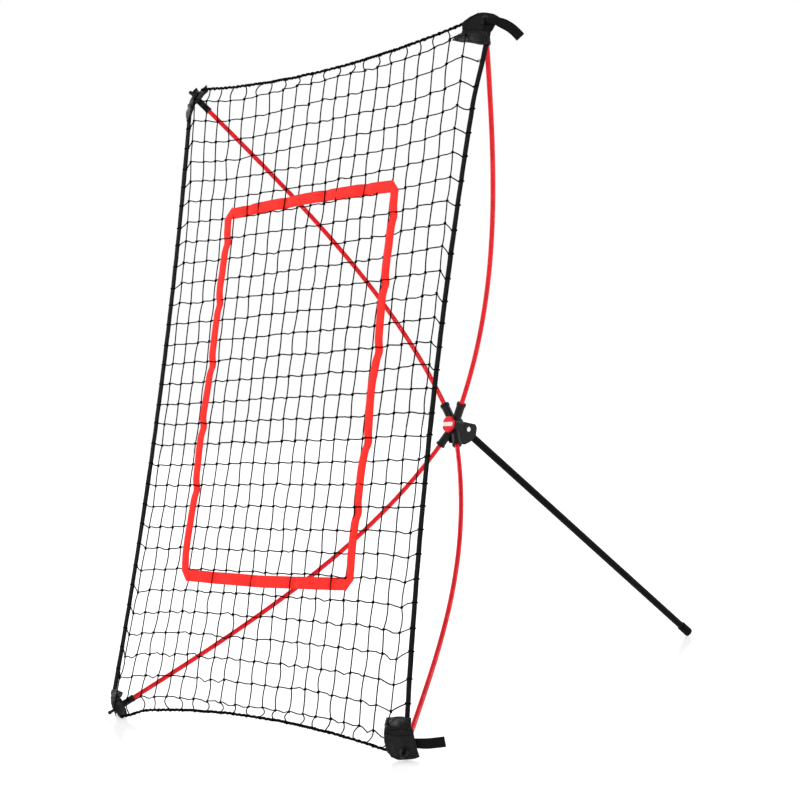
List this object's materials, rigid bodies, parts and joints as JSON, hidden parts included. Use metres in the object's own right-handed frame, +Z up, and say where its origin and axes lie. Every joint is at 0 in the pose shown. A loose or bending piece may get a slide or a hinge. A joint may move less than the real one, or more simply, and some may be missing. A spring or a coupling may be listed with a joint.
{
  "type": "pitching target net",
  "caption": "Free-standing knotted net with a ribbon strike zone, held taut by bowed rods from a rear hub, with a folding prop leg.",
  "frame": {"origin": "on the ground at the centre of the bounding box", "axes": "+Z up, +Y towards the back where the prop leg stands, +X to the right seen from the front"},
  "size_m": [0.8572, 1.0226, 1.0624],
  "materials": {
    "net_cord": "matt",
    "webbing": "matt",
    "coated_cloth": "satin",
    "red_ribbon": "satin",
    "red_fibreglass": "gloss",
    "black_plastic": "satin",
    "red_plastic": "gloss",
    "pale_plastic": "matt",
    "dark_steel": "satin",
    "zinc_steel": "satin",
    "bright_steel": "polished",
    "black_paint": "satin",
    "black_rubber": "matt"
  },
  "bodies": {
    "frame": {"border_rope_bottom": "net_cord", "border_rope_top": "net_cord", "cap_bar": "pale_plastic", "corner_patch_lower_left": "coated_cloth", "corner_patch_lower_right": "coated_cloth", "corner_patch_upper_left": "coated_cloth", "corner_patch_upper_right": "coated_cloth", "end_sleeve_lower_left": "black_plastic", "end_sleeve_lower_right": "black_plastic", "end_sleeve_upper_left": "black_plastic", "end_sleeve_upper_right": "black_plastic", "eyelet_lower_left": "dark_steel", "eyelet_lower_right": "dark_steel", "eyelet_upper_left": "dark_steel", "eyelet_upper_right": "dark_steel", "hub_body": "black_plastic", "hub_cap": "red_plastic", "hub_nut": "zinc_steel", "hub_screw": "zinc_steel", "leg_bracket": "black_plastic", "net_panel": "net_cord", "pivot_bolt": "bright_steel", "pivot_nut": "bright_steel", "pull_tab_lower_left": "webbing", "pull_tab_lower_right": "webbing", "pull_tab_upper_left": "webbing", "pull_tab_upper_right": "webbing", "rod_lower_left": "red_fibreglass", "rod_lower_right": "red_fibreglass", "rod_upper_left": "red_fibreglass", "rod_upper_right": "red_fibreglass", "side_band_left": "webbing", "side_band_right": "webbing", "zone_ribbon_bottom": "red_ribbon", "zone_ribbon_left": "red_ribbon", "zone_ribbon_right": "red_ribbon", "zone_ribbon_top": "red_ribbon"},
    "leg": {"leg_tube": "black_paint", "leg_plug": "black_plastic", "foot_cap": "black_rubber"}
  },
  "joints": [
    {"name": "leg_fold", "type": "hinge", "parent": "frame", "child": "leg", "pos_m": [0, 0.00526, 0.42778], "axis": [1, 0, 0], "range_deg": [-64, 0]}
  ]
}
